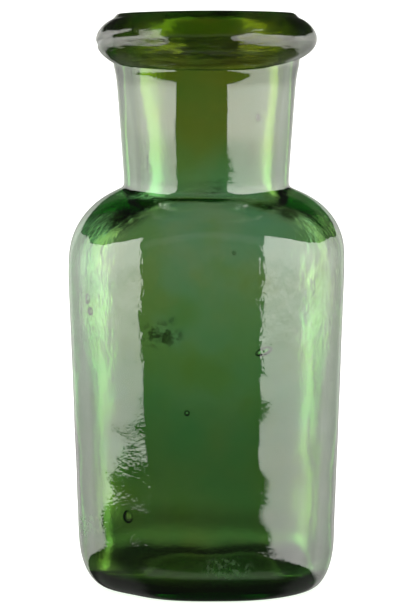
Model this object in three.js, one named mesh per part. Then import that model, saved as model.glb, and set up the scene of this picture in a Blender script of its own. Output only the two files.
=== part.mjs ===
// Wide-mouth apothecary bottle: a glass vessel blown in a mould, with a lip laid on round its neck.
// Millimetres, +Z up, front towards -Y. The origin is the centre of the base, on the surface it stands on.
import * as THREE from "three";

// Body, blown to a rounded square that widens a little from its heel to its belt
const bodyWidth = 57.9; // side to side, at the belt
const bodyDepth = 57.9; // front to back, at the belt
const heelWidth = 53.9; // side to side, where the heel begins
const heelDepth = 53.9; // front to back, where the heel begins
const bodyHeight = 70; // base to the start of the shoulder, at the sides
const beltHeight = 7; // upright band under the shoulder
const bodySquareness = 2.55; // exponent of the rounded square: 2 is an ellipse, more is squarer
const cornerTuck = 0.4; // how far the corners draw in at the base
const leftTuck = 2.2; // how much further the front left one does
const tuckHeight = 60; // base to where the corners begin to draw in

// Base: a flat ring to stand on, round a shallow push-up
const heelHeight = 10.5; // base to the start of the panels
const standingWidth = 43.2; // across the outer edge of the standing ring
const standingRingBreadth = 3.5; // breadth of the standing ring
const standingSquareness = 2.5;
const standingShift = 0.5; // the ring sits this far right of the axis, so the left heel is the rounder
const pushUpHeight = 2.6; // rise of the underside at its centre
const domeLean = 45; // degrees from upright, at the edge of the push-up and of the floor's crown

// Shoulder and neck
const shoulderHeight = 13.4;
const shoulderLean = 62; // degrees from upright, where the shoulder meets the neck
const frontRise = 6.5; // how much higher the shoulder begins in front and behind than at the sides
const innerFrontRise = 6.2; // the same, inside
const riseHeight = 25; // height over which the panels stretch up to that rise
const riseSquareness = 0.72; // how far the rise spreads from the front towards the corners
const shoulderTilt = 0.9; // rise of the right shoulder, and fall of the left one
const neckRootFillet = 1.8; // hollow where the neck rises from the shoulder
const neckHeight = 37.4; // shoulder to the top of the lip
const neckDiameter = 34.4; // outside, at its foot
const flareDiameter = 37.2; // outside, where the neck begins to flare
const flareHeight = 5.9; // from there up to the lip
const neckTopDiameter = 39.5; // outside, where the lip begins
const flareLean = 22; // degrees from upright, where the neck meets the lip
const mouthDiameter = 34; // bore at the rim
const neckEdgeBreadth = 0.8; // breadth of the neck's sheared edge, inside the lip
const neckEdgeDrop = 1.3; // from the top of the lip down to that edge

// Walls
const heelWall = 3.6; // at the foot of the panels
const beltWall = 2.4; // at the belt, where the glass was blown thinnest
const innerRootDrop = 0.9; // from the shoulder's end outside down to its end inside
const neckWall = 3.2;
const baseThickness = 2.6;
const innerHeelRadius = 3.5; // hollow where the wall runs into the floor
const innerNeckRadius = 0.8; // rounding where the shoulder turns up into the neck

// Lip: a thick trail of glass wound round the neck's end and tooled to a roll
const lipDiameter = 46.2;
const lipHeight = 10.2;
const lipWaistHeight = 4.9; // from the lip's foot up to where it is widest
const lipCoreDiameter = 37.4; // across the middle of its top
const underSquareness = 2.4; // exponent of the curve under the waist
const overSquareness = 1.8; // exponent of the curve over it: 2 is an ellipse, less is flatter
const fusedGap = 0.3; // left between the lip and the neck that it is fused to

// Crooked set of the mouth, which grows from the lip's foot upwards
const mouthLean = 7; // degrees, up towards the front
const mouthTilt = 0.2; // degrees, up towards the right
const leanHeight = 5.4; // from the lip's foot to where the set is full

// Fineness of the facets
const ringSides = 64;
const turnSteps = 6; // rings in a full turn of the wall
const filletSteps = 3; // rings in a small one
const rollSteps = 7; // points in each half of the lip's roll
const uprightLean = 0; // lean of a wall that stands straight up
const levelLean = 90; // lean of one that lies flat
const circleSquareness = 2; // squareness of a circle

const beltFoot = bodyHeight - beltHeight;
const shoulderTop = bodyHeight + shoulderHeight;
const rimHeight = shoulderTop + neckHeight;
const lipFoot = rimHeight - lipHeight;
const flareFoot = lipFoot - flareHeight;
const edgeHeight = rimHeight - neckEdgeDrop;

const { clamp, degToRad, lerp, smoothstep } = THREE.MathUtils;
const section = (width, depth, height, squareness, shift = 0) => ({ width, depth, height, squareness, shift });
const circle = (diameter, height) => section(diameter, diameter, height, circleSquareness);

// A section set in from the outside of the glass by a wall, at its own height.
const inside = (outer, wall, height) =>
  section(outer.width - 2 * wall, outer.depth - 2 * wall, height, outer.squareness);

// A turn of the wall, by its lean in degrees where it sets off and where it ends: how far it has gone
// across and how far up, as shares of the whole way, when it has turned by a share of its angle.
const turn = (startLean, endLean) => (share) => {
  const [start, now, end] = [startLean, lerp(startLean, endLean, share), endLean].map(degToRad);
  return [
    (Math.cos(start) - Math.cos(now)) / (Math.cos(start) - Math.cos(end)),
    (Math.sin(now) - Math.sin(start)) / (Math.sin(end) - Math.sin(start)),
  ];
};
const straight = (share) => [share, share];

// The sections that lead from one to another, leaving out the first.
function lead(from, to, steps, way) {
  return Array.from({ length: steps }, (_, i) => {
    const [across, up] = way((i + 1) / steps);
    return section(
      lerp(from.width, to.width, across),
      lerp(from.depth, to.depth, across),
      lerp(from.height, to.height, up),
      lerp(from.squareness, to.squareness, across),
      lerp(from.shift, to.shift, across),
    );
  });
}

// A sine or cosine drawn out to a squarer or flatter curve.
const along = (value, squareness) => Math.sign(value) * Math.abs(value) ** (2 / squareness);

// One ring of points round a section.
function ringPoints({ width, depth, height, squareness, shift }) {
  return Array.from({ length: ringSides }, (_, i) => {
    const angle = (2 * Math.PI * i) / ringSides;
    const x = shift + (width / 2) * along(Math.cos(angle), squareness);
    return [x, (depth / 2) * along(Math.sin(angle), squareness), height];
  });
}

// A point of the mouth, where its crooked set takes it.
function leanMouth([x, y, z]) {
  const share = smoothstep(z, lipFoot, lipFoot + leanHeight);
  const slope = x * Math.tan(degToRad(mouthTilt)) - y * Math.tan(degToRad(mouthLean));
  return [x, y, z + share * slope];
}

// A point of the vessel, where the mould and the tools left it.
function settle([x, y, z], rise) {
  const ahead = y ** 2 / (y ** 2 + (x / riseSquareness) ** 2);
  const lift = rise * ahead + (shoulderTilt * x) / (bodyWidth / 2);
  const below = smoothstep(z, bodyHeight - riseHeight, bodyHeight);
  const above = clamp((shoulderTop - z) / shoulderHeight, 0, 1);

  const [near, far] = [Math.abs(x), Math.abs(y)].sort((a, b) => a - b);
  const tuck = cornerTuck + (x < 0 && y < 0 ? leftTuck : 0);
  const low = Math.max(0, 1 - z / tuckHeight);
  const drawn = 1 - (tuck / (heelWidth / 2)) * smoothstep(near / far, 0, 1) * low ** 2;
  return leanMouth([x * drawn, y * drawn, z + lift * below * above]);
}

// A closed solid through a list of rings, with a point on the axis at each end.
function loft(startHeight, rings, endHeight) {
  const points = [[0, 0, startHeight], ...rings.flat(), [0, 0, endHeight]];
  const endPoint = points.length - 1;
  const endRing = rings.length - 1;
  const corner = (ring, side) => 1 + ring * ringSides + (side % ringSides);
  const faces = [];
  for (let side = 0; side < ringSides; side += 1) {
    faces.push(0, corner(0, side + 1), corner(0, side));
    for (let ring = 0; ring < endRing; ring += 1) {
      const [a, b] = [corner(ring, side), corner(ring, side + 1)];
      const [c, d] = [corner(ring + 1, side), corner(ring + 1, side + 1)];
      faces.push(a, b, d, a, d, c);
    }
    faces.push(endPoint, corner(endRing, side), corner(endRing, side + 1));
  }
  const geometry = new THREE.BufferGeometry();
  geometry.setAttribute("position", new THREE.Float32BufferAttribute(points.flat(), 3));
  geometry.setIndex(faces);
  geometry.computeVertexNormals();
  return geometry;
}

// The vessel: underside, heel, panels, shoulder and neck outside, then back down the inside to the floor.
function blownBody() {
  const ringHollow = standingWidth - 2 * standingRingBreadth;
  const pushUp = circle(0, pushUpHeight);
  const standingInner = section(ringHollow, ringHollow, 0, standingSquareness, standingShift);
  const standingOuter = section(standingWidth, standingWidth, 0, standingSquareness, standingShift);
  const heel = section(heelWidth, heelDepth, heelHeight, bodySquareness);
  const belt = section(bodyWidth, bodyDepth, beltFoot, bodySquareness);
  const body = section(bodyWidth, bodyDepth, bodyHeight, bodySquareness);
  const shoulder = circle(neckDiameter + 2 * neckRootFillet, shoulderTop);
  const neck = circle(neckDiameter, shoulderTop + neckRootFillet);
  const flare = circle(flareDiameter, flareFoot);
  const neckTop = circle(neckTopDiameter, lipFoot);
  const edge = circle(mouthDiameter + 2 * neckEdgeBreadth, edgeHeight);

  const mouth = circle(mouthDiameter, edgeHeight);
  const innerFlare = inside(flare, neckWall, flareFoot);
  const innerNeck = inside(neck, neckWall, shoulderTop - innerRootDrop + innerNeckRadius);
  const innerShoulder = circle(innerNeck.width + 2 * innerNeckRadius, shoulderTop - innerRootDrop);
  const innerBody = inside(body, beltWall, bodyHeight);
  const innerBelt = inside(belt, beltWall, beltFoot);
  const innerHeel = inside(heel, heelWall, baseThickness + innerHeelRadius);
  const floor = inside(innerHeel, innerHeelRadius, baseThickness);
  const floorCrown = circle(0, baseThickness + pushUpHeight);

  const outer = [
    ...lead(pushUp, standingInner, turnSteps, turn(levelLean, domeLean)).slice(1),
    standingOuter,
    ...lead(standingOuter, heel, turnSteps, turn(levelLean, uprightLean)),
    ...lead(heel, belt, turnSteps, straight),
    body,
    ...lead(body, shoulder, turnSteps, turn(uprightLean, shoulderLean)),
    ...lead(shoulder, neck, filletSteps, turn(shoulderLean, uprightLean)),
    ...lead(neck, flare, filletSteps, straight),
    ...lead(flare, neckTop, filletSteps, turn(uprightLean, flareLean)),
    edge,
  ];
  const inner = [
    mouth,
    ...lead(mouth, innerFlare, filletSteps, turn(flareLean, uprightLean)),
    ...lead(innerFlare, innerNeck, filletSteps, straight),
    ...lead(innerNeck, innerShoulder, filletSteps, turn(uprightLean, shoulderLean)),
    ...lead(innerShoulder, innerBody, turnSteps, turn(shoulderLean, uprightLean)),
    innerBelt,
    ...lead(innerBelt, innerHeel, turnSteps, straight),
    ...lead(innerHeel, floor, turnSteps, turn(uprightLean, levelLean)),
    ...lead(floor, floorCrown, turnSteps, turn(domeLean, levelLean)).slice(0, -1),
  ];
  const walls = [
    [outer, frontRise],
    [inner, innerFrontRise],
  ];
  const rings = walls.flatMap(([sections, rise]) =>
    sections.map((level) => ringPoints(level).map((point) => settle(point, rise))),
  );
  return loft(pushUp.height, rings, floorCrown.height);
}

// The lip: a roll outside, a rounded rim, and a cone inside that lies against the neck's end.
function appliedLip() {
  const waist = lipFoot + lipWaistHeight;
  const waistRadius = lipDiameter / 2;
  const coreRadius = lipCoreDiameter / 2;
  const seatRadius = neckTopDiameter / 2 + fusedGap;
  const edgeRadius = mouthDiameter / 2 + neckEdgeBreadth + fusedGap;

  const under = Array.from({ length: rollSteps }, (_, i) => {
    const drop = 1 - i / rollSteps;
    const radius = lerp(waistRadius, seatRadius, drop ** underSquareness);
    return new THREE.Vector2(radius, waist - drop * lipWaistHeight);
  });
  const over = Array.from({ length: rollSteps + 1 }, (_, i) => {
    const angle = (Math.PI / 2) * (i / rollSteps);
    const radius = lerp(coreRadius, waistRadius, along(Math.cos(angle), overSquareness));
    return new THREE.Vector2(radius, lerp(waist, rimHeight, along(Math.sin(angle), overSquareness)));
  });
  const rimFoot = rimHeight - neckEdgeDrop;
  const rim = new THREE.EllipseCurve(
    coreRadius, rimFoot, coreRadius - edgeRadius, neckEdgeDrop, Math.PI / 2, Math.PI,
  );
  const section = [...under, ...over, ...rim.getPoints(filletSteps).slice(1), under[0]];

  const geometry = new THREE.LatheGeometry(section, ringSides).rotateX(Math.PI / 2);
  const places = geometry.attributes.position;
  for (let i = 0; i < places.count; i += 1) {
    places.setXYZ(i, ...leanMouth([places.getX(i), places.getY(i), places.getZ(i)]));
  }
  geometry.computeVertexNormals();
  return geometry;
}

const bottleGlass = new THREE.MeshStandardMaterial({ color: 0x3f6b34, roughness: 0.06, metalness: 0 });
const lipGlass = new THREE.MeshStandardMaterial({ color: 0x55661f, roughness: 0.05, metalness: 0 });

const bottle = new THREE.Group();

const body = new THREE.Mesh(blownBody(), bottleGlass);
body.name = "blown_body";
bottle.add(body);

const lip = new THREE.Mesh(appliedLip(), lipGlass);
lip.name = "applied_lip";
bottle.add(lip);

export default bottle;
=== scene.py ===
"""Looks of a wide-mouth apothecary bottle of hand-made green glass.

The bottle is two pieces of glass: the body, blown in a mould, and the lip that was laid on round its
neck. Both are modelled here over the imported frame, whose nodes they replace. Lengths are in metres,
angles in degrees, +Z is up and the front faces -Y.
"""

import logging
import math
from collections.abc import Callable, Sequence
from dataclasses import dataclass
from enum import Enum

import bmesh
import bpy
from mathutils import Euler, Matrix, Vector


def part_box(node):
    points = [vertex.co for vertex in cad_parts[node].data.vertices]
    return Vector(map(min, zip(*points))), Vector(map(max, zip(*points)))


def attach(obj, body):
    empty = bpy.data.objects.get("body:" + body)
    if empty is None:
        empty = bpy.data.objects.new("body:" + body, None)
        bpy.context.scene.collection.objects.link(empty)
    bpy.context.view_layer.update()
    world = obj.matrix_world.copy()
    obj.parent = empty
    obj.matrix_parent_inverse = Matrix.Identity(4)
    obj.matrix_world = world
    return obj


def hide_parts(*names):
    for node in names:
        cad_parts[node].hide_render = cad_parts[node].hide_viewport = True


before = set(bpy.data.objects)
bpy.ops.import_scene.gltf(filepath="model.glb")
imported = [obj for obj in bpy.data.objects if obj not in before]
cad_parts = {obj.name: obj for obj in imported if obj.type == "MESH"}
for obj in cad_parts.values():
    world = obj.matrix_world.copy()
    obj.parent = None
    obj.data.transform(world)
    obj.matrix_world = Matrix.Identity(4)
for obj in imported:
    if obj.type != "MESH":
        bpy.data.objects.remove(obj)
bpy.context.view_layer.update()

MM = 0.001
# Points closer than this are taken as one.
HAIR = MM / 1000
UPRIGHT = 0.0
LEVEL = 90.0
log = logging.getLogger("apothecary_bottle")

Colour = tuple[float, float, float]
Span = tuple[float, float]
Socket = bpy.types.NodeSocket


def mm(*sizes: float) -> tuple[float, ...]:
    """Gives sizes in metres, from millimetres."""
    return tuple(size * MM for size in sizes)


def radians(*angles: float) -> tuple[float, ...]:
    """Gives angles in radians, from degrees."""
    return tuple(math.radians(angle) for angle in angles)


def smooth_step(value: float, low: float, high: float) -> float:
    """Gives a smooth step of a value, which is 0 up to low and 1 from high on."""
    share = min(1.0, max(0.0, (value - low) / (high - low)))
    return share * share * (3 - 2 * share)


class Wall(Enum):
    """The two walls of the vessel, by the vertex group that holds each."""

    OUTSIDE = "outside"
    INSIDE = "inside"


@dataclass(frozen=True)
class Ring:
    """One level ring of a glass wall.

    Attributes:
        half: half of the ring's width.
        height: its height above the floor.
        roundness: 0 for the body's rounded square, 1 for a circle.
        shift: how far right of the axis it sits.
    """

    half: float
    height: float
    roundness: float = 1.0
    shift: float = 0.0

    def toward(self, other: "Ring", across: float, up: float) -> "Ring":
        """Gives a ring part of the way to another.

        Args:
            other: the ring at the end of the way.
            across: share of the way gone in width, roundness and shift.
            up: share of the way gone in height.

        Returns:
            The ring there.
        """
        return Ring(
            self.half + across * (other.half - self.half),
            self.height + up * (other.height - self.height),
            self.roundness + across * (other.roundness - self.roundness),
            self.shift + across * (other.shift - self.shift),
        )


def turn(start: Ring, end: Ring, steps: int, leans: Span) -> list[Ring]:
    """Leads one ring to another through a turn of the wall.

    Args:
        start: the ring that the turn sets off from, which is left out.
        end: the ring that it ends on.
        steps: how many rings it takes.
        leans: the wall's lean from upright where it sets off and where it ends.

    Returns:
        The rings after start, up to end.
    """
    first, last = radians(*leans)
    rings = []
    for step in range(1, steps + 1):
        now = first + (last - first) * step / steps
        across = (math.cos(first) - math.cos(now)) / (math.cos(first) - math.cos(last))
        up = (math.sin(now) - math.sin(first)) / (math.sin(last) - math.sin(first))
        rings.append(start.toward(end, across, up))
    return rings


def straight(start: Ring, end: Ring, steps: int) -> list[Ring]:
    """Leads one ring to another in a straight line, and gives the rings after start, up to end."""
    return [start.toward(end, step / steps, step / steps) for step in range(1, steps + 1)]


def start_alone() -> None:
    """Leaves edit mode and deselects everything, so that an operator meets only the new piece."""
    if bpy.context.object and bpy.context.object.mode != "OBJECT":
        bpy.ops.object.mode_set(mode="OBJECT")
    bpy.ops.object.select_all(action="DESELECT")


def take_up(piece: bpy.types.Object) -> None:
    """Makes a piece the only one selected, and the active one.

    Args:
        piece: the object to work on.
    """
    start_alone()
    piece.select_set(True)
    bpy.context.view_layer.objects.active = piece


def apply_modifier(piece: bpy.types.Object, kind: str, **settings: object) -> None:
    """Adds one modifier to a piece and applies it to its mesh.

    Args:
        piece: the object that the modifier shapes.
        kind: the modifier's type.
        settings: its settings, by their names.
    """
    take_up(piece)
    modifier = piece.modifiers.new(kind.lower(), kind)
    for name, value in settings.items():
        setattr(modifier, name, value)
    bpy.ops.object.modifier_apply(modifier=modifier.name)


def mark(piece: bpy.types.Object, wall: Wall, weight: Callable[[Vector], float]) -> None:
    """Marks how freely the vertices of a wall ripple.

    Args:
        piece: the object whose vertices are marked.
        wall: the wall whose vertex group they go into.
        weight: how freely the glass ripples at a place, from 0 to 1.
    """
    group = piece.vertex_groups.new(name=wall.value)
    for vertex in piece.data.vertices:
        group.add([vertex.index], weight(vertex.co), "REPLACE")


def ripple(piece: bpy.types.Object, wall: Wall, breadth: float, height: float) -> None:
    """Ripples a wall's surface in and out, as glass that chilled against a cool mould.

    Args:
        piece: the object whose surface is rippled.
        wall: the wall that is rippled.
        breadth: breadth of a ripple.
        height: height of the ripples from trough to crest.
    """
    pattern = bpy.data.textures.new(f"{piece.name}_{wall.value}_{breadth / MM:.0f}mm", "CLOUDS")
    pattern.noise_scale = breadth
    pattern.noise_depth = 1
    apply_modifier(
        piece,
        "DISPLACE",
        texture=pattern,
        texture_coords="LOCAL",
        strength=height,
        mid_level=0.5,
        vertex_group=wall.value,
    )


@dataclass(frozen=True)
class Rake:
    """The crooked set of a hand-tooled mouth, whose front stands higher than its back.

    Attributes:
        slope: lean of the mouth's rim from level, up towards the front.
        tilt: the same, up towards the right.
        foot: height where the lean begins.
        full: height from which the lean is full.
    """

    slope: float
    tilt: float
    foot: float
    full: float

    def tip(self, piece: bpy.types.Object) -> None:
        """Tips the upper part of a piece.

        Args:
            piece: the object to tip.
        """
        ahead, aside = (math.tan(angle) for angle in radians(self.slope, self.tilt))
        for vertex in piece.data.vertices:
            place = vertex.co
            place.z += (place.x * aside - place.y * ahead) * smooth_step(place.z, self.foot, self.full)


MOUTH_RAKE = Rake(7.0, 0.2, 110.6 * MM, 116 * MM)


class RingLoft:
    """Models one wall of the vessel: a ring of edges at the belt, extruded level by level up and down.

    Attributes:
        flat_cuts: cuts in each flat side of the ring.
        corner_cuts: edges in each of its corners.
    """

    flat_cuts: int = 5
    corner_cuts: int = 10

    def __init__(self, name: str, belt: Ring, corner: float) -> None:
        """Lays the ring at the belt.

        Args:
            name: the wall's name.
            belt: the ring where the wall is widest.
            corner: radius of the rounded square's corners, as a share of its half-width.
        """
        start_alone()
        self.belt = belt
        bpy.ops.mesh.primitive_plane_add(size=2 * belt.half, location=(0, 0, 0))
        self.piece = bpy.context.object
        self.piece.name = self.piece.data.name = name
        bpy.ops.object.mode_set(mode="EDIT")
        bpy.ops.transform.translate(value=(belt.shift, 0, belt.height))
        bpy.ops.mesh.bevel(
            offset_type="OFFSET",
            offset=corner * belt.half,
            segments=self.corner_cuts,
            profile=0.5,
            affect="VERTICES",
        )
        bpy.ops.mesh.select_mode(type="EDGE")
        self._select_edges(lambda a, b: (a - b).length > (1 - corner) * belt.half)
        bpy.ops.mesh.subdivide(number_cuts=self.flat_cuts)
        bpy.ops.mesh.select_all(action="SELECT")
        bpy.ops.transform.tosphere(value=belt.roundness)
        self._place(belt)
        bpy.ops.mesh.delete(type="ONLY_FACE")

    def _select_edges(self, wanted: Callable[[Vector, Vector], bool]) -> None:
        """Selects the edges whose two ends pass a test.

        Args:
            wanted: the test, given the places of an edge's ends.
        """
        bpy.ops.mesh.select_all(action="DESELECT")
        net = bmesh.from_edit_mesh(self.piece.data)
        for edge in net.edges:
            edge.select_set(wanted(edge.verts[0].co, edge.verts[1].co))
        bmesh.update_edit_mesh(self.piece.data)

    def _measure(self) -> tuple[float, Vector]:
        """Measures the ring that is selected.

        Returns:
            Its half-width and its centre.
        """
        net = bmesh.from_edit_mesh(self.piece.data)
        places = [vertex.co for vertex in net.verts if vertex.select]
        low, high = min(p.x for p in places), max(p.x for p in places)
        return (high - low) / 2, Vector(((low + high) / 2, 0, places[0].z))

    def _place(self, ring: Ring) -> None:
        """Brings the ring that is selected to its width and place.

        Args:
            ring: the width and place.
        """
        half, centre = self._measure()
        ratio = ring.half / half
        bpy.ops.transform.resize(value=(ratio, ratio, 1), center_override=centre)
        bpy.ops.transform.translate(value=Vector((ring.shift, 0, ring.height)) - centre)

    def extrude(self, rings: Sequence[Ring]) -> None:
        """Extrudes the wall from its belt through a run of rings.

        Args:
            rings: the rings in order, each as round as the one before it or rounder.
        """
        level = self.belt.height
        self._select_edges(lambda a, b: max(abs(a.z - level), abs(b.z - level)) < HAIR)
        roundness = self.belt.roundness
        for ring in rings:
            bpy.ops.mesh.extrude_edges_move()
            if ring.roundness > roundness:
                bpy.ops.transform.tosphere(value=1 - (1 - ring.roundness) / (1 - roundness))
                roundness = ring.roundness
            self._place(ring)

    def close(self) -> None:
        """Closes the wall over the ring that was extruded last."""
        bpy.ops.mesh.edge_face_add()
        bpy.ops.mesh.poke()
        bpy.ops.mesh.select_all(action="SELECT")
        bpy.ops.mesh.normals_make_consistent(inside=False)

    def finish(self, wall: Wall, weight: Callable[[Vector], float]) -> bpy.types.Object:
        """Leaves edit mode and marks the wall's vertices.

        Args:
            wall: which wall of the vessel this is.
            weight: how freely the glass ripples at a place.

        Returns:
            The wall's object.
        """
        bpy.ops.object.mode_set(mode="OBJECT")
        mark(self.piece, wall, weight)
        return self.piece


class NodeWeb:
    """A short way to write a node tree.

    Attributes:
        mix_colours: numbers of the two colour inputs of a mix.
        mix_result: number of its colour output.
    """

    mix_colours: tuple[int, int] = (6, 7)
    mix_result: int = 2

    def __init__(self, tree: bpy.types.NodeTree) -> None:
        """Empties a node tree, to be filled anew."""
        self.tree = tree
        tree.nodes.clear()

    def add(self, kind: str, inputs: dict | None = None, **settings: object) -> bpy.types.Node:
        """Adds a node.

        Args:
            kind: the node's type, without the word ShaderNode.
            inputs: values or sockets for its inputs, by name or number.
            settings: its settings, by their names.

        Returns:
            The node.
        """
        node = self.tree.nodes.new(f"ShaderNode{kind}")
        for name, value in settings.items():
            setattr(node, name, value)
        for key, value in (inputs or {}).items():
            if isinstance(value, Socket):
                self.tree.links.new(value, node.inputs[key])
            else:
                node.inputs[key].default_value = value
        return node

    def math(self, operation: str, *values: Socket | float) -> Socket:
        """Adds a sum of numbers or sockets, and gives the socket of its result."""
        return self.add("Math", dict(enumerate(values)), operation=operation).outputs[0]

    def ramp(
        self, value: Socket, low: float, high: float, start: Socket | float = 0.0, end: Socket | float = 1.0
    ) -> Socket:
        """Adds a smooth step from start, up to low, to end, from high on, and gives its socket."""
        inputs = {"Value": value, "From Min": low, "From Max": high, "To Min": start, "To Max": end}
        return self.add("MapRange", inputs, interpolation_type="SMOOTHSTEP").outputs[0]

    def mix(
        self, share: Socket | float, first: Socket | Colour, second: Socket | Colour, blend: str = "MIX"
    ) -> Socket:
        """Mixes two colours.

        Args:
            share: how much of the second there is.
            first: the first colour.
            second: the second colour.
            blend: how the second is laid on the first.

        Returns:
            The socket of the mixed colour.
        """
        node = self.add("Mix", {0: share}, data_type="RGBA", blend_type=blend)
        for key, value in zip(self.mix_colours, (first, second)):
            if isinstance(value, Socket):
                self.tree.links.new(value, node.inputs[key])
            else:
                node.inputs[key].default_value = (*value, 1.0)
        return node.outputs[self.mix_result]


@dataclass(frozen=True)
class Spot:
    """A ragged patch of a surface.

    Attributes:
        centre: where it lies.
        reach: how far it goes along each axis.
        grain: how many streaks lie in a metre along each axis.
        cover: noise levels between which it sets in, lower for a fuller patch.
        core: share of its reach within which it is whole.
    """

    centre: tuple[float, ...]
    reach: tuple[float, ...]
    grain: tuple[float, ...]
    cover: Span = (0.45, 0.6)
    core: float = 0.35

    def share(self, web: NodeWeb, place: Socket) -> Socket:
        """Gives how much of the patch covers a place.

        Args:
            web: the material's nodes.
            place: the place on the piece.

        Returns:
            The socket of the share.
        """
        offset = web.add("VectorMath", {0: place, 1: self.centre}, operation="SUBTRACT").outputs[0]
        offset = web.add("VectorMath", {0: offset, 1: self.reach}, operation="DIVIDE").outputs[0]
        away = web.add("VectorMath", {0: offset}, operation="LENGTH").outputs["Value"]
        streaks = web.add("VectorMath", {0: place, 1: self.grain}, operation="MULTIPLY").outputs[0]
        noise = web.add("TexNoise", {"Vector": streaks, "Scale": 1.0, "Detail": 3.0}).outputs[0]
        inside = web.ramp(away, self.core, 1.0, 1.0, 0.0)
        return web.math("MULTIPLY", inside, web.ramp(noise, *self.cover))


@dataclass(frozen=True)
class GlassFinish:
    """Hand-made green glass: clear all through, tinted and worn at its surface, with painted shade in its
    tint.

    Attributes:
        name: the material's name.
        body_colour: what one absorption length lets through, as the shader counts it.
        density: how strongly the glass absorbs, per metre.
        tints: pairs of height and tint, which the surface fades between; the body's darkest ones near its
            foot are painted shade.
        gloss: roughness of the clean and of the worn surface.
        waves: how many waves of the skin lie in a metre across and upwards, and their height.
        calms: heights between which the waves grow or fade, and what there is of them below and above.
        grain: how many fine dimples lie in a metre, and their height.
        sheen: tint of what the surface mirrors.
        stains_and_shade: stains, and patches of painted shade, with the tint of each.
        scuffs: frosted patches with the roughness of each.
        warm: tint that the surface drifts towards in broad clouds.
        cool: tint that it drifts towards between them.
        clouds: how many clouds lie in a metre.
        cloud_levels: noise levels where a cloud is warm, where it is neither and where it is cool.
        wear: how many worn places lie in a metre.
        wear_levels: noise levels between which the wear sets in.
        shadow: what of the light passes on to the floor.
        refraction: index of refraction.
    """

    name: str
    body_colour: Colour
    density: float
    tints: tuple[tuple[float, Colour], ...]
    gloss: Span
    waves: tuple[float, float, float]
    calms: tuple[tuple[float, float, float, float], ...] = ()
    grain: Span = (1400.0, 0.012 * MM)
    sheen: Colour = (1.0, 1.0, 1.0)
    stains_and_shade: tuple[tuple[Spot, Colour], ...] = ()
    scuffs: tuple[tuple[Spot, float], ...] = ()
    warm: Colour = (1.0, 0.95, 0.66)
    cool: Colour = (0.82, 0.98, 1.0)
    clouds: float = 55.0
    cloud_levels: tuple[float, float, float] = (0.38, 0.5, 0.62)
    wear: float = 60.0
    wear_levels: Span = (0.5, 0.75)
    shadow: Colour = (0.9, 0.93, 0.9)
    refraction: float = 1.52

    def material(self) -> bpy.types.Material:
        """Builds the finish.

        Returns:
            The material.
        """
        material = bpy.data.materials.new(self.name)
        material.use_nodes = True
        web = NodeWeb(material.node_tree)
        place = web.add("TexCoord").outputs["Object"]
        height = web.add("SeparateXYZ", {0: place}).outputs[2]
        inputs = {
            "Base Color": self._tint(web, place, height),
            "Roughness": self._roughness(web, place),
            "IOR": self.refraction,
            "Transmission Weight": 1.0,
            "Specular Tint": (*self.sheen, 1.0),
            "Normal": self._skin(web, place, height),
        }
        surface = web.add("BsdfPrincipled", inputs).outputs[0]
        clear = web.add("BsdfTransparent", {"Color": (*self.shadow, 1.0)}).outputs[0]
        shade = web.add("LightPath").outputs["Is Shadow Ray"]
        surface = web.add("MixShader", {0: shade, 1: surface, 2: clear}).outputs[0]
        depth_inputs = {"Color": (*self.body_colour, 1.0), "Density": self.density}
        depth = web.add("VolumeAbsorption", depth_inputs).outputs[0]
        web.add("OutputMaterial", {"Surface": surface, "Volume": depth})
        return material

    def _skin(self, web: NodeWeb, place: Socket, height: Socket) -> Socket:
        """Raises the waves and dimples of the skin.

        Args:
            web: the material's nodes.
            place: the place on the piece.
            height: its height.

        Returns:
            The socket of the surface's direction.
        """
        across, up, swell = self.waves
        drawn = web.add("VectorMath", {0: place, 1: (across, across, up)}, operation="MULTIPLY").outputs[0]
        waves = web.add("TexNoise", {"Vector": drawn, "Scale": 1.0, "Detail": 2.5}).outputs[0]
        for low, high, below, above in self.calms:
            waves = web.math("MULTIPLY", waves, web.ramp(height, low, high, below, above))
        bump = web.add("Bump", {"Strength": 1.0, "Distance": swell, "Height": waves}).outputs[0]
        count, depth = self.grain
        dimples = web.add("TexNoise", {"Vector": place, "Scale": count, "Detail": 2.0}).outputs[0]
        fine = {"Strength": 1.0, "Distance": depth, "Height": dimples, "Normal": bump}
        return web.add("Bump", fine).outputs[0]

    def _tint(self, web: NodeWeb, place: Socket, height: Socket) -> Socket:
        """Paints the surface's tint, painted shade included.

        Args:
            web: the material's nodes.
            place: the place on the piece.
            height: its height.

        Returns:
            The socket of the tint.
        """
        tint: Socket | Colour = self.tints[0][1]
        for (low, _), (high, colour) in zip(self.tints, self.tints[1:]):
            tint = web.mix(web.ramp(height, low, high), tint, colour)
        clouds = web.add("TexNoise", {"Vector": place, "Scale": self.clouds, "Detail": 3.0}).outputs[0]
        warm, even, cool = self.cloud_levels
        tint = web.mix(web.ramp(clouds, even, warm), tint, self.warm, "MULTIPLY")
        tint = web.mix(web.ramp(clouds, even, cool), tint, self.cool, "MULTIPLY")
        # Stains, and patches of painted shade, darken the tint
        for spot, colour in self.stains_and_shade:
            tint = web.mix(spot.share(web, place), tint, colour, "MULTIPLY")
        return tint

    def _roughness(self, web: NodeWeb, place: Socket) -> Socket:
        """Paints how worn the surface is.

        Args:
            web: the material's nodes.
            place: the place on the piece.

        Returns:
            The socket of the roughness.
        """
        wear = web.add("TexNoise", {"Vector": place, "Scale": self.wear, "Detail": 4.0}).outputs[0]
        roughness = web.ramp(wear, *self.wear_levels, *self.gloss)
        for spot, level in self.scuffs:
            scuff = web.math("MULTIPLY", spot.share(web, place), level)
            roughness = web.math("MAXIMUM", roughness, scuff)
        return roughness


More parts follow.
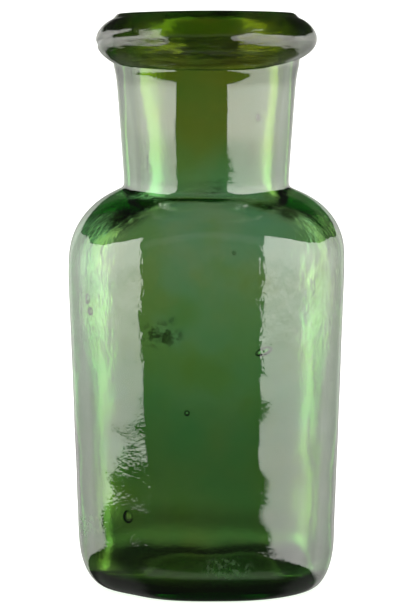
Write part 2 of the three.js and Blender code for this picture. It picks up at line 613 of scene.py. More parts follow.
@dataclass(frozen=True)
class Seed:
    """A bubble in the glass, flattened between the two skins of the wall.

    Attributes:
        centre: where it lies.
        reach: its half-breadth along the wall, through the wall and upwards.
        bearing: which way the wall faces there, in degrees right of the front.
        tilt: how far it leans over along the wall.
        segments: how many faces it has round its waist.
        rings: how many rings of faces it has.
    """

    centre: tuple[float, ...]
    reach: tuple[float, ...]
    bearing: float
    tilt: float = 0.0
    segments: int = 20
    rings: int = 12

    def blow(self) -> bpy.types.Object:
        """Models the bubble, with its faces towards the air in it.

        Returns:
            The bubble.
        """
        start_alone()
        bpy.ops.mesh.primitive_uv_sphere_add(
            segments=self.segments,
            ring_count=self.rings,
            radius=1.0,
            location=self.centre,
            rotation=(0.0, *radians(self.tilt, self.bearing)),
            scale=self.reach,
        )
        bubble = bpy.context.object
        bpy.ops.object.transform_apply(location=True, rotation=True, scale=True)
        bpy.ops.object.mode_set(mode="EDIT")
        bpy.ops.mesh.select_all(action="SELECT")
        bpy.ops.mesh.normals_make_consistent(inside=True)
        bpy.ops.object.mode_set(mode="OBJECT")
        return bubble


@dataclass
class BlownBody:
    """The vessel: base, rounded-square body, shoulder and neck, with their walls.

    A height is given over the floor, and a half is half of a width. A lean is given from upright.

    Attributes:
        corner: radius of the body's corners, as a share of its half-width.
        roundness: how far the body's rounded square goes towards a circle.
        belt_height: height of the belt, from which both walls are drawn.
        body_height: height where the shoulder begins at the sides.
        standing_shift: how far right of the axis the base sits.
        push_up: height of the hollow under the base, and of the floor's dome.
        edge_breadth: breadth of the sheared edge inside the lip.
        inner_heel: radius of the turn from the inner wall to the floor.
        inner_root: how far the inner turn into the neck goes across and upwards.
        root_drop: how much lower the inner shoulder ends than the outer one.
        inner_shift: how far right of the axis the neck's bore sits.
        front_rise: how much higher the shoulder begins in front than at the sides, outside and inside.
        shoulder_tilt: how much higher it begins at the right.
        rise_spread: how far the front's rise spreads round the corners.
        rise_foot: height from which the wall takes part in the rise.
        slow_share: share of the shoulder over which the rise runs out slowly.
        neck_draw: how far the neck's front is drawn in under the lip.
        draw_heights: heights between which it is drawn in.
        front_span: how far a place has to face the front to be drawn in a little, and in full.
        tuck: how far each corner is tucked in at the foot.
        left_tuck: how much further the left front corner is.
        tuck_height: height where the tuck has run out.
        neck_calm: share of the ripples that the neck loses.
        calm_span: where it loses them, below and above the shoulder's top.
        outer_ripple: breadth and height of the ripples outside.
        inner_ripple: breadth and height of the ripples inside.
        pole: half-width of the last ring at the base and at the floor.
        smoothing: levels of subdivision.
        seeds: the bubbles in its walls.
    """

    node: str = "blown_body"
    corner: float = 0.767
    roundness: float = 0.2
    belt_height: float = 67 * MM
    body_height: float = 70 * MM
    heel_half: float = 26.95 * MM
    heel_height: float = 10.5 * MM
    standing_half: float = 21.6 * MM
    standing_breadth: float = 3.5 * MM
    standing_shift: float = 0.5 * MM
    hollow_roundness: float = 0.5
    push_up: float = 2.6 * MM
    dome_lean: float = 45.0
    shoulder_top: float = 83.4 * MM
    shoulder_lean: float = 62.0
    root_fillet: float = 1.8 * MM
    neck_half: float = 17.2 * MM
    neck_lean: float = 3.0
    flare_half: float = 18.6 * MM
    flare_foot: float = 104.7 * MM
    flare_lean: float = 16.0
    lip_foot: float = 111.3 * MM
    neck_top_half: float = 19.75 * MM
    mouth_half: float = 17.0 * MM
    edge_breadth: float = 0.8 * MM
    edge_height: float = 119 * MM
    belt_wall: float = 2.4 * MM
    heel_wall: float = 3.6 * MM
    neck_wall: float = 3.2 * MM
    base_thickness: float = 2.6 * MM
    floor_roundness: float = 0.4
    inner_heel: float = 3.5 * MM
    inner_root: Span = (4.3 * MM, 4.4 * MM)
    root_drop: float = 2.6 * MM
    inner_shift: float = 0.35 * MM
    front_rise: Span = (6.5 * MM, 6.2 * MM)
    shoulder_tilt: float = 0.9 * MM
    rise_spread: float = 0.72
    rise_foot: float = 45 * MM
    slow_share: float = 0.3
    neck_draw: float = 1.2 * MM
    draw_heights: Span = (95 * MM, 111.5 * MM)
    front_span: Span = (0.2, 0.8)
    tuck: float = 0.4 * MM
    left_tuck: float = 2.2 * MM
    tuck_height: float = 60 * MM
    neck_calm: float = 0.7
    calm_span: Span = (-8 * MM, 4 * MM)
    outer_ripple: Span = (9 * MM, 0.16 * MM)
    inner_ripple: Span = (14 * MM, 0.5 * MM)
    pole: float = 1.0 * MM
    smoothing: int = 2
    shoulder_rings: int = 7
    root_rings: int = 3
    neck_rings: int = 5
    flare_rings: int = 3
    inner_flare_rings: int = 4
    edge_rings: int = 2
    body_rings: int = 12
    heel_rings: int = 7
    inner_heel_rings: int = 6
    dome_rings: int = 5
    seeds: tuple[Seed, ...] = (
        Seed(mm(-24.0, -17.1, 63.1), mm(0.8, 0.6, 1.2), -59.0, 12.0),
        Seed(mm(-23.5, -17.9, 60.6), mm(0.9, 0.65, 0.9), -56.0),
        Seed(mm(11.7, -26.1, 53.4), mm(1.9, 0.7, 0.9), 16.0, -18.0),
        Seed(mm(-4.0, -26.6, 40.6), mm(0.65, 0.6, 0.65), -2.0),
        Seed(mm(-15.9, -21.1, 18.0), mm(1.3, 0.5, 1.4), -40.0),
        Seed(mm(-19.1, -21.8, 46.8), mm(0.35, 0.3, 0.5), -41.0),
        Seed(mm(5.6, -27.2, 74.0), mm(0.4, 0.35, 0.4), 5.0),
        Seed(mm(18.5, -22.9, 57.4), mm(0.3, 0.3, 0.6), 38.0),
        Seed(mm(16.0, 22.6, 40.0), mm(0.5, 0.4, 0.9), 145.0),
        Seed(mm(-8.0, 26.4, 52.0), mm(0.6, 0.45, 0.6), 197.0),
    )

    def __post_init__(self) -> None:
        """Takes the body's width from the frame."""
        low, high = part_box(self.node)
        self.body_half = (high.x - low.x) / 2

    def outer_wall(self) -> bpy.types.Object:
        """Models the outside, from the push-up to the neck's edge.

        Returns:
            The wall's object.
        """
        belt = Ring(self.body_half, self.belt_height, self.roundness)
        body = Ring(self.body_half, self.body_height, self.roundness)
        shoulder = Ring(self.neck_half + self.root_fillet, self.shoulder_top)
        neck = Ring(self.neck_half, self.shoulder_top + self.root_fillet)
        flare = Ring(self.flare_half, self.flare_foot)
        neck_top = Ring(self.neck_top_half, self.lip_foot)
        edge = Ring(self.mouth_half + self.edge_breadth, self.edge_height)
        heel = Ring(self.heel_half, self.heel_height, self.roundness)
        standing = Ring(self.standing_half, 0, self.roundness, self.standing_shift)
        hollow_half = self.standing_half - self.standing_breadth
        hollow = Ring(hollow_half, 0, self.hollow_roundness, self.standing_shift)
        pole = Ring(self.pole, self.push_up, 1, self.standing_shift)

        loft = RingLoft(f"{self.node}_outer", belt, self.corner)
        loft.extrude(
            [
                body,
                *turn(body, shoulder, self.shoulder_rings, (UPRIGHT, self.shoulder_lean)),
                *turn(shoulder, neck, self.root_rings, (self.shoulder_lean, UPRIGHT)),
                *straight(neck, flare, self.neck_rings),
                *turn(flare, neck_top, self.flare_rings, (self.neck_lean, self.flare_lean)),
                *straight(neck_top, edge, self.edge_rings),
            ]
        )
        loft.extrude(
            [
                *straight(belt, heel, self.body_rings),
                *turn(heel, standing, self.heel_rings, (UPRIGHT, LEVEL)),
                hollow,
                *turn(hollow, pole, self.dome_rings, (self.dome_lean, LEVEL)),
            ]
        )
        loft.close()
        return self._settle(loft.finish(Wall.OUTSIDE, self._freedom), self.front_rise[0])

    def inner_wall(self) -> bpy.types.Object:
        """Models the inside, from the floor's crown to the mouth.

        Returns:
            The wall's object.
        """
        belt = Ring(self.body_half - self.belt_wall, self.belt_height, self.roundness)
        body = Ring(self.body_half - self.belt_wall, self.body_height, self.roundness)
        neck_half = self.neck_half - self.neck_wall
        inner_top = self.shoulder_top - self.root_drop
        shoulder = Ring(neck_half + self.inner_root[0], inner_top, 1, self.inner_shift)
        neck = Ring(neck_half, inner_top + self.inner_root[1], 1, self.inner_shift)
        flare = Ring(self.flare_half - self.neck_wall, self.flare_foot, 1, self.inner_shift)
        mouth = Ring(self.mouth_half, self.edge_height)
        heel_half = self.heel_half - self.heel_wall
        heel = Ring(heel_half, self.base_thickness + self.inner_heel, self.roundness)
        floor = Ring(heel_half - self.inner_heel, self.base_thickness, self.floor_roundness)
        pole = Ring(self.pole, self.base_thickness + self.push_up)

        loft = RingLoft(f"{self.node}_inner", belt, self.corner)
        loft.extrude(
            [
                body,
                *turn(body, shoulder, self.shoulder_rings, (UPRIGHT, self.shoulder_lean)),
                *turn(shoulder, neck, self.root_rings, (self.shoulder_lean, UPRIGHT)),
                *straight(neck, flare, self.neck_rings),
                *turn(flare, mouth, self.inner_flare_rings, (UPRIGHT, self.flare_lean)),
            ]
        )
        loft.extrude(
            [
                *straight(belt, heel, self.body_rings),
                *turn(heel, floor, self.inner_heel_rings, (UPRIGHT, LEVEL)),
                *turn(floor, pole, self.dome_rings, (self.dome_lean, LEVEL)),
            ]
        )
        loft.close()
        return self._settle(loft.finish(Wall.INSIDE, self._freedom), self.front_rise[1])

    def _freedom(self, place: Vector) -> float:
        """Gives how freely the glass ripples: not at the standing ring, nor inside the lip.

        Args:
            place: a place on a wall.

        Returns:
            Its freedom, from 0 to 1.
        """
        foot = smooth_step(place.z, 0, self.heel_height)
        calm_foot, calm_top = (self.shoulder_top + way for way in self.calm_span)
        neck = 1 - self.neck_calm * smooth_step(place.z, calm_foot, calm_top)
        top = 1 - smooth_step(place.z, self.flare_foot, self.lip_foot)
        return foot * neck * top

    def _ease(self, share: float) -> float:
        """Runs the shoulder's rise out, slowly first and then evenly.

        Args:
            share: share of the way up the shoulder.

        Returns:
            How far the rise has run out there, from 0 to 1.
        """
        slow = self.slow_share
        share = min(1.0, max(0.0, share))
        if share < slow:
            return share**2 / (slow * (2 - slow))
        return (share - slow / 2) / (1 - slow / 2)

    def _settle(self, wall: bpy.types.Object, rise: float) -> bpy.types.Object:
        """Settles a wall as mould and tool left it: shoulder up in front, corners tucked, neck drawn in.

        Args:
            wall: the wall's object.
            rise: how much higher its shoulder begins in front than at the sides.

        Returns:
            The wall's object.
        """
        for vertex in wall.data.vertices:
            place = vertex.co
            small, large = sorted((abs(place.x), abs(place.y)))
            corner = smooth_step(small / max(large, self.pole), 0.0, 1.0)
            ahead = place.y**2 / max(place.y**2 + (place.x / self.rise_spread) ** 2, self.pole**2)
            below = smooth_step(place.z, self.rise_foot, self.body_height)
            above = 1 - self._ease((place.z - self.body_height) / (self.shoulder_top - self.body_height))
            low = max(0.0, 1 - place.z / self.tuck_height)
            left_front = place.x < 0 and place.y < 0
            tuck = self.tuck + (self.left_tuck if left_front else 0.0)
            drawn = 1 - tuck / self.heel_half * corner * low * low
            front = smooth_step(-place.y / max(place.xy.length, self.pole), *self.front_span)
            drawn -= self.neck_draw * front * smooth_step(place.z, *self.draw_heights) / self.neck_half
            tilt = self.shoulder_tilt * place.x / self.body_half
            lift = (rise * ahead + tilt) * below * above
            vertex.co = (place.x * drawn, place.y * drawn, place.z + lift)
        return wall

    def build(self) -> bpy.types.Object:
        """Joins the two walls at the neck's edge, ripples them and sets the bubbles in.

        Returns:
            The vessel.
        """
        inner = self.inner_wall()
        piece = self.outer_wall()
        take_up(piece)
        inner.select_set(True)
        bpy.ops.object.join()
        piece.name = piece.data.name = "glass_body"
        bpy.ops.object.mode_set(mode="EDIT")
        bpy.ops.mesh.select_mode(type="EDGE")
        bpy.ops.mesh.select_all(action="DESELECT")
        bpy.ops.mesh.select_non_manifold(use_multi_face=False, use_non_contiguous=False, use_verts=False)
        bpy.ops.mesh.bridge_edge_loops()
        bpy.ops.mesh.select_all(action="SELECT")
        bpy.ops.mesh.normals_make_consistent(inside=False)
        bpy.ops.object.mode_set(mode="OBJECT")
        MOUTH_RAKE.tip(piece)
        apply_modifier(piece, "SUBSURF", levels=self.smoothing, render_levels=self.smoothing)
        ripple(piece, Wall.OUTSIDE, *self.outer_ripple)
        ripple(piece, Wall.INSIDE, *self.inner_ripple)
        bubbles = [seed.blow() for seed in self.seeds]
        take_up(piece)
        for bubble in bubbles:
            bubble.select_set(True)
        bpy.ops.object.join()
        bpy.ops.object.shade_smooth()
        return piece

    def dress(self, piece: bpy.types.Object, finish: GlassFinish) -> None:
        """Gives the vessel its glass and sets it in the frame.

        Args:
            piece: the vessel.
            finish: its glass.
        """
        piece.data.materials.append(finish.material())
        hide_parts(self.node)
        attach(piece, "root")


@dataclass
class AppliedLip:
    """The lip: a thick trail of glass, laid on round the neck's end and tooled to a roll.

    Attributes:
        waist: height where the roll is widest.
        core_half: half-width of the roll's crown, inside which nothing is pressed or rippled.
        seat_half: half-width of its foot, on the neck.
        rim_drop: how far it falls from its crown in to the mouth.
        fullness: how full it is under its waist, 1 for a cone and more for a bulge.
        slackness: how full it is over its waist, 2 for an ellipse and less for a slacker one.
        seat_points: points along its seat on the neck, as shares of the way down.
        press: how hard its front is pressed, four times as far as it gives way.
        press_span: how far a place has to face the front to give way a little, and in full.
        rim_sag: how much lower its crown is at both ends.
        right_lift: how much higher its underside is at the right.
        right_span: how far a place has to face the right to be lifted a little, and in full.
        lap_ends: directions where the lap's crease begins and ends, in degrees right of the front.
        lap_heights: its heights there.
        lap_run: degrees over which it sets in and dies away.
        outer_ripple: breadth and height of its ripples.
        smoothing: levels of subdivision.
    """

    node: str = "applied_lip"
    foot: float = 110.6 * MM
    waist: float = 115.5 * MM
    top: float = 120.8 * MM
    core_half: float = 18.7 * MM
    seat_half: float = 19.55 * MM
    mouth_half: float = 17.05 * MM
    rim_drop: float = 1.3 * MM
    fullness: float = 2.5
    slackness: float = 1.8
    seat_points: tuple[float, ...] = (0.04, 0.5, 0.96)
    press: float = 2.0 * MM
    press_span: Span = (0.1, 0.55)
    rim_sag: float = 1.4 * MM
    right_lift: float = 0.8 * MM
    right_span: Span = (0.5, 1.0)
    lap_ends: Span = (-100.0, -38.0)
    lap_heights: Span = (113.9 * MM, 116.9 * MM)
    lap_depth: float = 0.4 * MM
    lap_breadth: float = 0.45 * MM
    lap_run: float = 12.0
    outer_ripple: Span = (7 * MM, 0.2 * MM)
    smoothing: int = 1
    under_steps: int = 14
    over_steps: int = 10
    rim_steps: int = 4
    spin_steps: int = 128

    def __post_init__(self) -> None:
        """Takes the roll's width from the frame."""
        low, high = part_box(self.node)
        self.half = (high.x - low.x) / 2

    def section(self) -> list[Vector]:
        """Draws the roll's section, from its seat on the neck round to the mouth.

        Returns:
            The section's points, on the plane of X and Z.
        """
        points = []
        for step in range(self.under_steps + 1):
            fall = 1 - step / self.under_steps
            across = self.half - (self.half - self.seat_half) * fall**self.fullness
            points.append((across, self.waist - fall * (self.waist - self.foot)))
        for step in range(1, self.over_steps + 1):
            angle = math.pi / 2 * step / self.over_steps
            out, up = (share ** (2 / self.slackness) for share in (abs(math.cos(angle)), math.sin(angle)))
            across = self.core_half + (self.half - self.core_half) * out
            points.append((across, self.waist + (self.top - self.waist) * up))
        for step in range(1, self.rim_steps + 1):
            angle = math.pi / 2 * step / self.rim_steps
            across = self.core_half - (self.core_half - self.mouth_half) * math.sin(angle)
            points.append((across, self.top - self.rim_drop * (1 - math.cos(angle))))
        start, end = Vector(points[-1]), Vector(points[0])
        points += [tuple(start.lerp(end, share)) for share in self.seat_points]
        return [Vector((across, 0, height)) for across, height in points]

    def build(self) -> bpy.types.Object:
        """Spins the section into a ring, and tools it.

        Returns:
            The lip.
        """
        section = self.section()
        start_alone()
        bpy.ops.mesh.primitive_circle_add(vertices=len(section), location=(0, 0, 0))
        piece = bpy.context.object
        piece.name = piece.data.name = "glass_lip"
        for vertex, place in zip(piece.data.vertices, section):
            vertex.co = place
        bpy.ops.object.mode_set(mode="EDIT")
        bpy.ops.mesh.select_all(action="SELECT")
        bpy.ops.mesh.spin(steps=self.spin_steps, angle=math.tau, center=(0, 0, 0), axis=(0, 0, 1))
        bpy.ops.mesh.select_all(action="SELECT")
        bpy.ops.mesh.remove_doubles(threshold=HAIR)
        bpy.ops.mesh.normals_make_consistent(inside=False)
        bpy.ops.object.mode_set(mode="OBJECT")
        self._press(piece)
        self._lap(piece)
        MOUTH_RAKE.tip(piece)
        apply_modifier(piece, "SUBSURF", levels=self.smoothing, render_levels=self.smoothing)
        mark(piece, Wall.OUTSIDE, lambda place: smooth_step(place.xy.length, self.core_half, self.half))
        ripple(piece, Wall.OUTSIDE, *self.outer_ripple)
        take_up(piece)
        bpy.ops.object.shade_smooth()
        return piece

    def _press(self, piece: bpy.types.Object) -> None:
        """Presses the roll as the tool left it: flatter in front, lower at its ends, lifted at the right.

        Args:
            piece: the lip.
        """
        for vertex in piece.data.vertices:
            place = vertex.co
            out = Vector((place.x, place.y, 0))
            if out.length < self.core_half:
                continue
            if place.z < self.waist:
                drop = (self.waist - place.z) / (self.waist - self.foot)
                place.z += self.right_lift * drop * smooth_step(place.x / out.length, *self.right_span)
                continue
            share = (place.z - self.waist) / (self.top - self.waist)
            ahead = smooth_step(-place.y / out.length, *self.press_span)
            place -= self.press * ahead * share * (1 - share) * out.normalized()
            place.z -= self.rim_sag * share * (place.x / self.half) ** 2

    def _lap(self, piece: bpy.types.Object) -> None:
        """Creases the roll at the left, where the end of the trail was laid over its start.

        Args:
            piece: the lip.
        """
        start, end = self.lap_ends
        low, high = self.lap_heights
        for vertex in piece.data.vertices:
            place = vertex.co
            out = Vector((place.x, place.y, 0))
            bearing = math.degrees(math.atan2(place.x, -place.y))
            middle = low + (high - low) * (bearing - start) / (end - start)
            begun = smooth_step(bearing, start, start + self.lap_run)
            near = begun * (1 - smooth_step(bearing, end - self.lap_run, end))
            crease = math.exp(-(((place.z - middle) / self.lap_breadth) ** 2))
            if out.length > self.core_half:
                vertex.co = place - self.lap_depth * near * crease * out.normalized()

    def dress(self, piece: bpy.types.Object, finish: GlassFinish) -> None:
        """Gives the lip its glass and sets it in the frame.

        Args:
            piece: the lip.
            finish: its glass.
        """
        piece.data.materials.append(finish.material())
        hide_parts(self.node)
        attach(piece, "root")


@dataclass(frozen=True)
class SoftBox:
    """One side of the studio: a tall soft light that fades into the pale back.

    A direction is in degrees from the camera's axis, and a height in degrees over the horizon.

    Attributes:
        hand: -1 for the left side, 1 for the right.
        near: direction where the light begins.
        gap: directions of a dim stripe that parts it.
        cut: height under which its inner edge slants away.
        slant: how far that edge goes for each degree under the cut.
        lean: how far that edge leans in for each degree over the horizon.
        top: height of its upper edge in front of the bottle, beside it and behind it.
        drop: directions between which that edge comes down beside the bottle.
        back_drop: directions between which it comes down behind it.
        foot: height of its lower edge.
        foot_softness: how many times softer that edge is than the others.
        edge: half-breadth of its edges.
        power: how bright it is.
        fade: directions between which it fades into the back.
        back: how bright the back is.
        rim: how bright the far end of the back is, which the glass mirrors along its outline.
        rim_span: directions between which the back falls to it.
        sag: share of the light that is left near its foot.
        sag_span: heights between which the rest is lost.
        gap_level: share of the light that is left in the gap.
        gap_edge: half-breadth of the gap's edges.
    """

    hand: int
    near: float
    gap: Span
    cut: float
    slant: float
    lean: float = -0.5
    top: tuple[float, float, float] = (38.0, 18.0, 8.0)
    drop: Span = (65.0, 122.0)
    back_drop: Span = (132.0, 158.0)
    foot: float = -28.0
    foot_softness: float = 4.0
    edge: float = 0.7
    power: float = 8.3
    fade: Span = (75.0, 155.0)
    back: float = 1.1
    rim: float = 0.4
    rim_span: Span = (160.0, 175.0)
    sag: float = 0.7
    sag_span: Span = (-14.0, -7.0)
    gap_level: float = 0.85
    gap_edge: float = 4.0

    def glow(self, web: NodeWeb, bearing: Socket, rise: Socket) -> Socket:
        """Paints the light.

        Args:
            web: the surroundings' nodes.
            bearing: direction round the bottle, in radians right of the camera's axis.
            rise: direction over the horizon, in radians.

        Returns:
            The socket of its brightness.
        """
        side = web.math("MULTIPLY", bearing, float(self.hand))
        glow = web.ramp(side, *radians(*self.fade), self.power, self.back)
        glow = web.ramp(side, *radians(*self.rim_span), glow, self.rim)
        glow = web.math("MULTIPLY", glow, web.ramp(rise, *radians(*self.sag_span), self.sag, 1.0))
        over = web.math("MAXIMUM", rise, 0.0)
        under = web.math("MAXIMUM", web.math("SUBTRACT", math.radians(self.cut), rise), 0.0)
        inner = web.math("ADD", side, web.math("MULTIPLY", over, self.lean))
        inner = web.math("SUBTRACT", inner, web.math("MULTIPLY", under, self.slant))
        front_top, side_top, back_top = radians(*self.top)
        upper = web.ramp(side, *radians(*self.drop), front_top, side_top)
        upper = web.ramp(side, *radians(*self.back_drop), upper, back_top)
        for value, angle, edge in (
            (inner, self.near, self.edge),
            (rise, self.foot, self.foot_softness * self.edge),
            (web.math("SUBTRACT", upper, rise), 0.0, self.edge),
        ):
            glow = web.math("MULTIPLY", glow, web.ramp(value, *radians(angle - edge, angle + edge)))
        begun, ended = (
            web.ramp(side, *radians(angle - self.gap_edge, angle + self.gap_edge)) for angle in self.gap
        )
        dim = web.math("MULTIPLY", web.math("SUBTRACT", begun, ended), 1 - self.gap_level)
        return web.math("MULTIPLY", glow, web.math("SUBTRACT", 1.0, dim))


class Where(Enum):
    """Where a gleam lies, by the share of it that shows in front of the bottle and behind it."""

    FRONT = (1.0, 0.0)
    BACK = (0.0, 1.0)


@dataclass(frozen=True)
class Gleam:
    """A soft level band of light in the room.

    Attributes:
        level: how bright it is.
        where: whether it lies in front of the bottle or behind it.
        aside: directions between which it ends, in degrees from the camera's axis.
        begins: heights between which it sets in, in degrees over the horizon.
        ends: heights between which it dies away.
    """

    level: float
    where: Where
    aside: Span
    begins: Span
    ends: Span

    def glow(self, web: NodeWeb, away: Socket, rise: Socket) -> Socket:
        """Paints the band.

        Args:
            web: the surroundings' nodes.
            away: direction away from the camera's axis, to either side, in radians.
            rise: direction over the horizon, in radians.

        Returns:
            The socket of its brightness.
        """
        levels = (self.level * share for share in self.where.value)
        round_bottle = web.ramp(away, *radians(*self.aside), *levels)
        begun, ended = (web.ramp(rise, *radians(*span)) for span in (self.begins, self.ends))
        return web.math("MULTIPLY", round_bottle, web.math("SUBTRACT", begun, ended))


@dataclass
class Studio:
    """The floor, the soft light round the bottle, and the camera.

    Attributes:
        eye_distance: how far the camera stands from its aim.
        eye_rise: how far it looks down, in degrees.
        aim: the point that it looks at.
        lens: its focal length, in millimetres as the sensor.
        sight: how far it sees.
        floor_light: what the floor gives off by itself, as it lies in the studio's light.
        floor_fill: light that falls on it from all round.
        painted_shadow_level: how bright the painted shadow under the bottle shows through the glass.
        painted_shadow_reach: distances from the axis between which that painted shadow ends.
        backdrop: how bright the plain back is in the picture.
        front_level: how bright the room in front is, below.
        top_level: how bright it is above.
        level_span: heights between these two, in degrees over the horizon.
        cloth_level: how bright the cloth behind the bottle is, seen through the glass.
        beside: where each thing beside the cloth begins, in degrees from straight behind, and its level.
        ceiling_level: how bright it is above them.
        ceiling_span: heights between which that begins.
        gleams: bands in the glass at the lip, at the base's back and at the heel.
        boxes: the soft lights at the left and at the right.
    """

    eye_distance: float = 1.2
    eye_rise: float = 8.1
    aim: tuple[float, float, float] = (-0.5 * MM, 0.0, 59.06 * MM)
    lens: float = 503.5
    sensor: float = 36.0
    sight: float = 100.0
    floor_width: float = 12.0
    floor_colour: Colour = (0.5, 0.5, 0.5)
    floor_light: float = 0.7
    floor_fill: float = 1.0
    painted_shadow_level: float = 0.01
    painted_shadow_reach: Span = (27 * MM, 42 * MM)
    light_colour: Colour = (1.0, 1.0, 0.95)
    backdrop: float = 1.2
    front_level: float = 0.055
    top_level: float = 0.03
    level_span: Span = (-20.0, 30.0)
    cloth_level: float = 0.2
    beside: tuple[tuple[Span, float], ...] = (
        ((7.5, 13.0), 1.1),
        ((16.5, 20.5), 0.12),
        ((55.0, 75.0), 0.35),
    )
    ceiling_level: float = 0.16
    ceiling_span: Span = (3.0, 12.0)
    gleams: tuple[Gleam, ...] = (
        Gleam(0.4, Where.FRONT, (35.0, 60.0), (1.0, 9.0), (22.0, 34.0)),
        Gleam(0.15, Where.BACK, (85.0, 110.0), (-58.0, -48.0), (-34.0, -26.0)),
        Gleam(0.5, Where.FRONT, (60.0, 85.0), (-44.0, -38.0), (-33.0, -28.0)),
    )
    boxes: tuple[SoftBox, ...] = (
        SoftBox(-1, near=42.0, gap=(97.0, 115.0), cut=-15.2, slant=22.0),
        SoftBox(
            1,
            near=30.0,
            gap=(93.0, 112.0),
            cut=-13.4,
            slant=6.0,
            top=(36.0, 15.0, 4.0),
            drop=(55.0, 114.0),
            back=1.0,
        ),
    )
    max_bounces: int = 32
    glass_bounces: int = 24
    mirror_bounces: int = 12

    def build(self) -> None:
        """Sets up the studio."""
        self._floor()
        self._surroundings()
        self._camera()
        scene = bpy.context.scene
        scene.view_settings.view_transform = "Standard"
        scene.cycles.max_bounces = self.max_bounces
        scene.cycles.transmission_bounces = self.glass_bounces
        scene.cycles.glossy_bounces = self.mirror_bounces

    def _floor(self) -> None:
        """Lays a plain pale floor, which the glass doesn't mirror, with a painted shadow under the bottle
        that shows only through the glass.
        """
        start_alone()
        bpy.ops.mesh.primitive_plane_add(size=self.floor_width, location=(0, 0, 0))
        floor = bpy.context.object
        floor.name = "floor"
        material = bpy.data.materials.new("pale_floor")
        material.use_nodes = True
        web = NodeWeb(material.node_tree)
        place = web.add("NewGeometry").outputs["Position"]
        reach = web.add("VectorMath", {0: place}, operation="LENGTH").outputs["Value"]
        away = web.ramp(reach, *self.painted_shadow_reach)
        matt = web.add("BsdfDiffuse", {"Color": (*self.floor_colour, 1.0)}).outputs[0]
        lit = web.add("Emission", {"Strength": self.floor_light}).outputs[0]
        pale = web.add("AddShader", {0: matt, 1: lit}).outputs[0]
        # Painted shadow: a dark disc under the bottle, seen only by rays through the glass
        shaded = web.add("Emission", {"Strength": self.painted_shadow_level}).outputs[0]
        open_air = web.add("BsdfTransparent").outputs[0]
        through = web.add("MixShader", {0: away, 1: shaded, 2: open_air}).outputs[0]
        rays = web.add("LightPath").outputs
        surface = web.add("MixShader", {0: rays["Is Transmission Ray"], 1: pale, 2: through}).outputs[0]
        web.add("OutputMaterial", {"Surface": surface})
        floor.data.materials.append(material)
        floor.visible_glossy = False

    def _surroundings(self) -> None:
        """Paints the surroundings: pale back, dim front and top, the tall soft lights and the gleams."""
        world = bpy.data.worlds.new("studio")
        bpy.context.scene.world = world
        world.use_nodes = True
        web = NodeWeb(world.node_tree)
        way = web.add("SeparateXYZ", {0: web.add("TexCoord").outputs["Generated"]}).outputs
        bearing = web.math("ARCTAN2", way[0], web.math("MULTIPLY", way[1], -1.0))
        away = web.math("ABSOLUTE", bearing)
        rise = web.math("ARCSINE", way[2])
        level = web.ramp(rise, *radians(*self.level_span), self.front_level, self.top_level)
        for box in self.boxes:
            level = web.math("ADD", level, box.glow(web, bearing, rise))
        for gleam in self.gleams:
            level = web.math("ADD", level, gleam.glow(web, away, rise))
        rays = web.add("LightPath").outputs
        level = web.ramp(rays["Is Transmission Ray"], 0.0, 1.0, level, self._behind(web, away, rise))
        level = web.ramp(rays["Is Diffuse Ray"], 0.0, 1.0, level, self.floor_fill)
        level = web.ramp(rays["Is Camera Ray"], 0.0, 1.0, level, self.backdrop)
        light = web.add("Background", {"Color": (*self.light_colour, 1.0), "Strength": level}).outputs[0]
        web.add("OutputWorld", {"Surface": light})

    def _behind(self, web: NodeWeb, away: Socket, rise: Socket) -> Socket:
        """Paints what shows through the glass: a dim cloth behind it, with pale walls on both sides.

        Args:
            web: the surroundings' nodes.
            away: direction away from the camera's axis, to either side, in radians.
            rise: direction over the horizon, in radians.

        Returns:
            The socket of its brightness.
        """
        aside = web.math("SUBTRACT", math.pi, away)
        level: Socket | float = self.cloth_level
        for span, next_level in self.beside:
            level = web.ramp(aside, *radians(*span), level, next_level)
        return web.ramp(rise, *radians(*self.ceiling_span), level, self.ceiling_level)

    def _camera(self) -> None:
        """Places the camera at the photograph's viewing angle."""
        data = bpy.data.cameras.new("camera")
        data.sensor_fit = "HORIZONTAL"
        data.sensor_width = self.sensor
        data.lens = self.lens
        data.clip_end = self.sight
        camera = bpy.data.objects.new("camera", data)
        bpy.context.scene.collection.objects.link(camera)
        rise = math.radians(self.eye_rise)
        away = Vector((0, -math.cos(rise), math.sin(rise)))
        camera.location = Vector(self.aim) + self.eye_distance * away
        camera.rotation_euler = Euler((math.pi / 2 - rise, 0, 0))
        bpy.context.scene.camera = camera


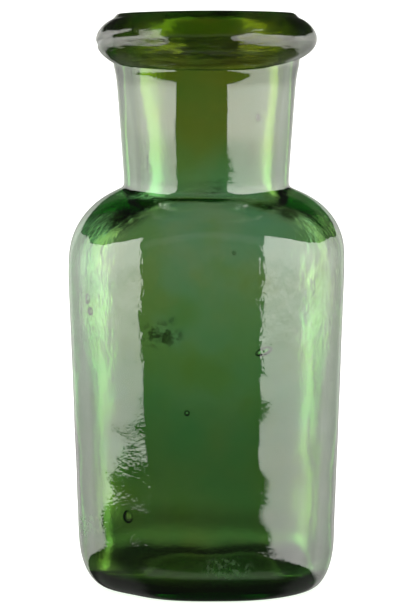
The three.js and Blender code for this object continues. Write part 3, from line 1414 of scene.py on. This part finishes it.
BODY_GLASS = GlassFinish(
    name="body_glass",
    body_colour=(0.444, 0.857, 0.38),
    density=300.0,
    tints=(
        # The dark tints at 2.5 mm and 8.5 mm are painted shade, for the base and a band just above it
        (2.5 * MM, (0.3, 0.3, 0.18)),
        (5.8 * MM, (0.92, 0.93, 0.62)),
        (8.5 * MM, (0.48, 0.45, 0.28)),
        (14 * MM, (0.79, 0.76, 0.56)),
        (27 * MM, (0.64, 0.69, 0.5)),
        (40 * MM, (0.7, 0.82, 0.65)),
        (47 * MM, (0.75, 0.88, 0.76)),
        (62 * MM, (0.95, 0.96, 0.84)),
        (74 * MM, (1.0, 1.0, 1.0)),
        (82 * MM, (0.96, 0.99, 0.945)),
        (99 * MM, (0.97, 0.79, 0.42)),
        (110 * MM, (0.97, 0.77, 0.36)),
    ),
    gloss=(0.02, 0.06),
    waves=(520.0, 300.0, 0.085 * MM),
    calms=((42 * MM, 58 * MM, 0.1, 1.0), (73 * MM, 80 * MM, 1.0, 0.2)),
    stains_and_shade=(
        # A warm haze in front, and smudges in it
        (Spot(mm(-6.3, -27.6, 61.5), mm(7, 5, 5.5), (60, 60, 60), (0.3, 0.45)), (0.97, 0.93, 0.62)),
        (Spot(mm(-9, -27.4, 57), mm(6, 4, 3.8), (420, 420, 520), (0.48, 0.56)), (0.15, 0.15, 0.08)),
        # Painted shade at the neck's root in front, and a patch of painted shade at each shoulder
        (Spot(mm(1.3, -17.1, 87), mm(3.4, 3, 3.2), (300, 300, 600)), (0.35, 0.4, 0.3)),
        (Spot(mm(-17.3, -19, 80.3), mm(8, 6.5, 5), (350, 350, 180), (0.28, 0.5)), (0.03, 0.04, 0.015)),
        (Spot(mm(17.2, -18.4, 81), mm(4.2, 4.5, 2.8), (400, 400, 250), (0.28, 0.5)), (0.08, 0.1, 0.05)),
        # A brown speck on the neck, and scratches at its right and left
        (Spot(mm(10.7, -14.4, 100.5), mm(0.8, 1.2, 1.2), (900, 900, 900), (0.2, 0.4)), (0.3, 0.16, 0.12)),
        (Spot(mm(8.9, -15.2, 92.8), mm(1.0, 1.5, 3.4), (1300, 1300, 300), (0.5, 0.56)), (0.35, 0.4, 0.2)),
        (Spot(mm(-11.9, -12.7, 93), mm(2.6, 3, 5), (1300, 1300, 350), (0.56, 0.61)), (0.3, 0.36, 0.24)),
    ),
    scuffs=(
        # Rubbed places at the foot, in front and at the left
        (Spot(mm(4, -26, 8), mm(8, 5, 3.5), (900, 900, 700)), 0.4),
        (Spot(mm(-25.5, -9, 14), mm(3, 6, 3.5), (700, 700, 900)), 0.5),
    ),
)
LIP_GLASS = GlassFinish(
    name="lip_glass",
    body_colour=(0.5, 0.64, 0.1),
    density=320.0,
    tints=((0.0, (0.95, 0.95, 0.5)),),
    gloss=(0.12, 0.22),
    waves=(180.0, 650.0, 0.22 * MM),
    sheen=(0.68, 0.62, 0.67),
    stains_and_shade=(
        # Level streaks of the trail
        (Spot(mm(0, -22, 114), mm(26, 26, 5), (90, 90, 1100), (0.5, 0.62)), (0.45, 0.42, 0.3)),
        # Painted shade at both ends of the roll, and a darker patch on its crown
        (Spot(mm(-20, -11, 120), mm(8, 12, 4), (120, 120, 300), (0.25, 0.38)), (0.1, 0.1, 0.08)),
        (Spot(mm(20, -11, 120.5), mm(6, 12, 4), (120, 120, 300), (0.25, 0.38)), (0.1, 0.1, 0.08)),
        (Spot(mm(3.6, -19, 122.6), mm(4.5, 6, 2), (200, 200, 300), (0.2, 0.35)), (0.2, 0.2, 0.15)),
    ),
)


def main() -> None:
    """Builds the bottle and its studio, in order."""
    logging.basicConfig(level=logging.INFO, format="%(message)s")
    Studio().build()
    body, lip = BlownBody(), AppliedLip()
    for maker, finish in ((body, BODY_GLASS), (lip, LIP_GLASS)):
        piece = maker.build()
        maker.dress(piece, finish)
        log.info("%s: %d faces", piece.name, len(piece.data.polygons))


if __name__ == "__main__":
    main()
